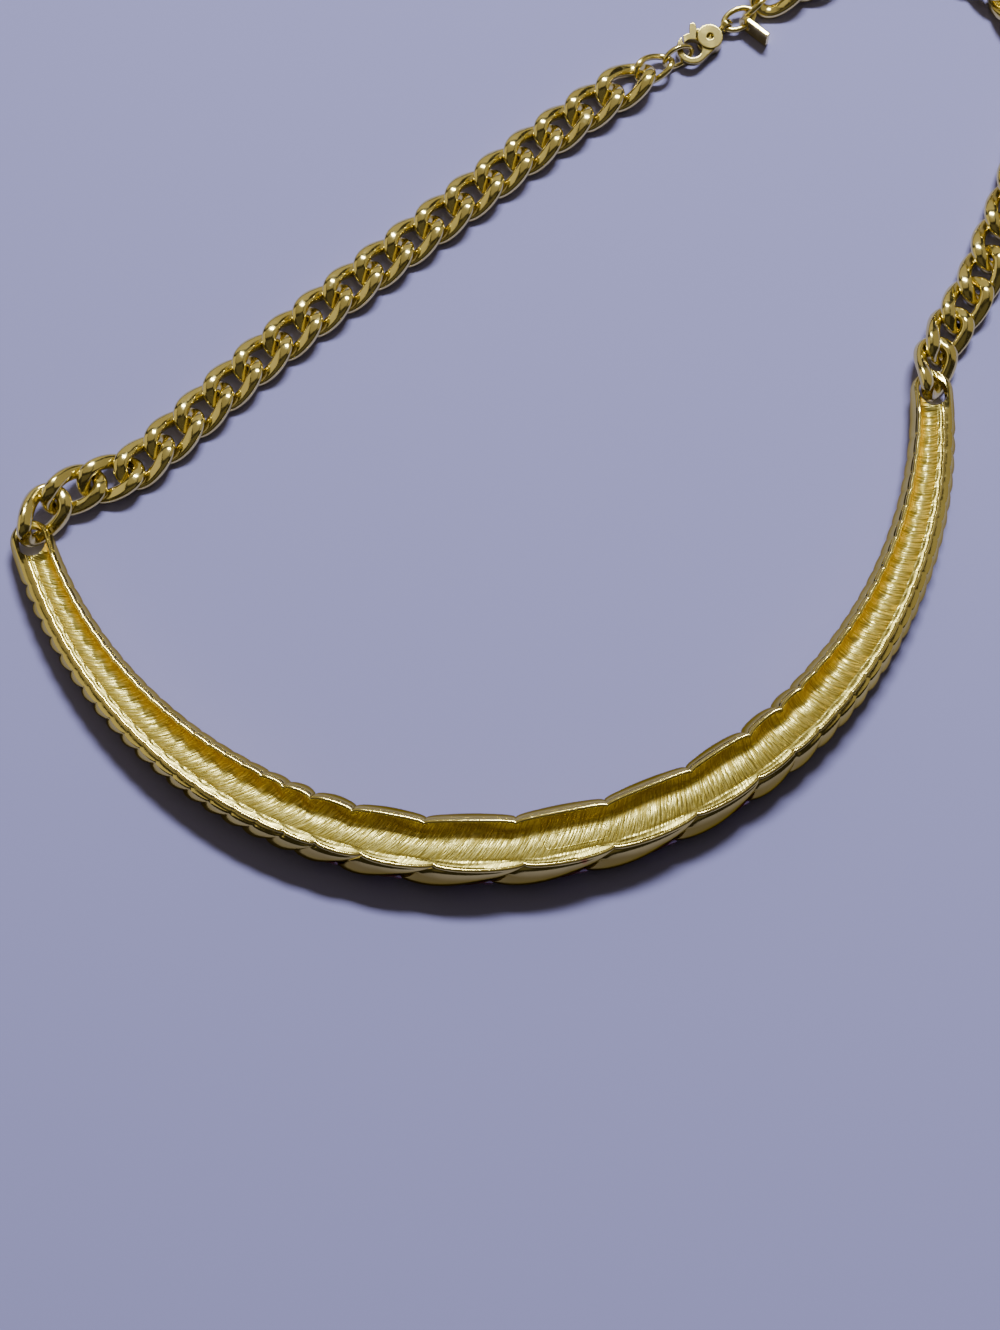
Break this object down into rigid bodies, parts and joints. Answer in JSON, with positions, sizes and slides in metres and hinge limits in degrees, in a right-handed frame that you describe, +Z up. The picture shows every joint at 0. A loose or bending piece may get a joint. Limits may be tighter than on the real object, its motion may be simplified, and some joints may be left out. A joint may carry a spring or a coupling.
{
  "type": "enamel choker",
  "caption": "Choker with a stiff ribbed half-round collar, enamel panels, a flattened curb chain and a lobster clasp, lying face down.",
  "frame": {"origin": "middle of the whole piece seen from above, on the surface that it lies on", "axes": "+X along the width of the collar, +Y from the collar's middle towards the clasp, +Z up from the surface"},
  "size_m": [0.1602, 0.1316, 0.0072],
  "materials": {
    "collar_metal": "gold plate, brushed in the hollow back and polished outside",
    "enamel": "glossy wine-coloured enamel",
    "chain_metal": "polished gold plate"
  },
  "bodies": {
    "necklace": {"collar": "collar_metal", "enamel_1": "enamel", "enamel_2": "enamel", "enamel_3": "enamel", "enamel_4": "enamel", "enamel_5": "enamel", "enamel_6": "enamel", "end_link_left": "chain_metal", "chain_left": "chain_metal", "small_link_left": "chain_metal", "catch_link": "chain_metal", "clasp_body": "chain_metal", "clasp_ring": "chain_metal", "hang_tag": "chain_metal", "small_link_right": "chain_metal", "chain_right": "chain_metal", "end_link_right": "chain_metal"},
    "lever": {"clasp_lever": "chain_metal"}
  },
  "joints": [
    {"name": "clasp_lever_turn", "type": "hinge", "parent": "necklace", "child": "lever", "pos_m": [0.03037, 0.05353, 0.00155], "axis": [0, 0, 1], "range_deg": [0, 7], "stiffness_Nm_per_rad": 0.002, "springref_deg": -17.19}
  ]
}
